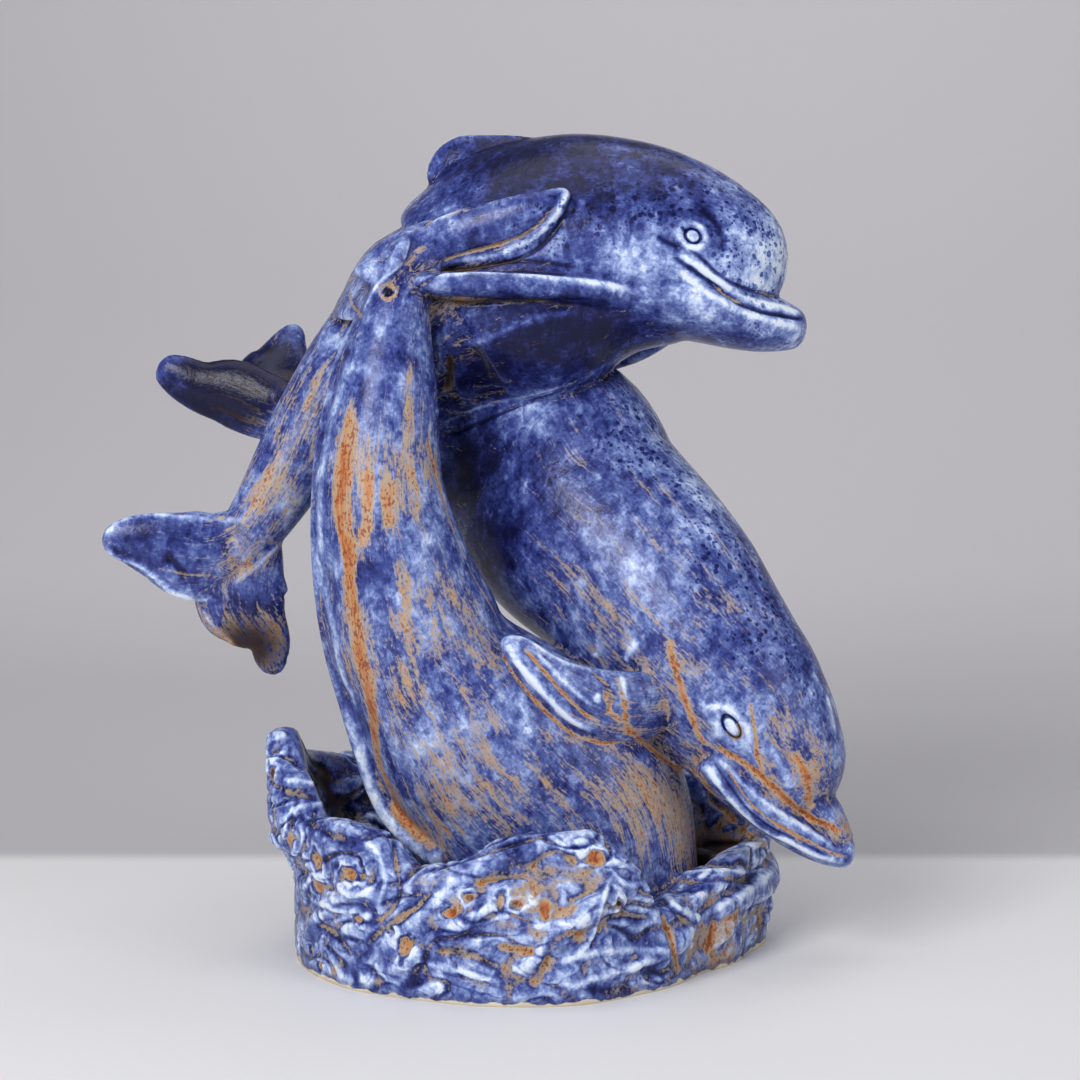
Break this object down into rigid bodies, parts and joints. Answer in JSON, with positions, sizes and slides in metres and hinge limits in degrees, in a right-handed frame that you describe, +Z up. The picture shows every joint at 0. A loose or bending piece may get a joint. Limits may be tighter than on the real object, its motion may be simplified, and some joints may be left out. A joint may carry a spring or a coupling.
{
  "type": "stoneware dolphin sculpture",
  "caption": "Glazed stoneware ornament of dolphins leaping, plunging and diving through a ring of breaking waves, fired as one free-standing piece.",
  "frame": {"origin": "middle of the flat underside of the wave base, on the surface that it stands on", "axes": "+Z up, -Y the front shown in the picture, +X the way the leaping dolphin faces"},
  "size_m": [0.3465, 0.2456, 0.3803],
  "materials": {
    "glazed_stoneware": "mottled cobalt, pale blue and rust-brown stoneware glaze, satin gloss"
  },
  "bodies": {
    "root": {"dolphin_group": "glazed_stoneware"}
  },
  "joints": []
}
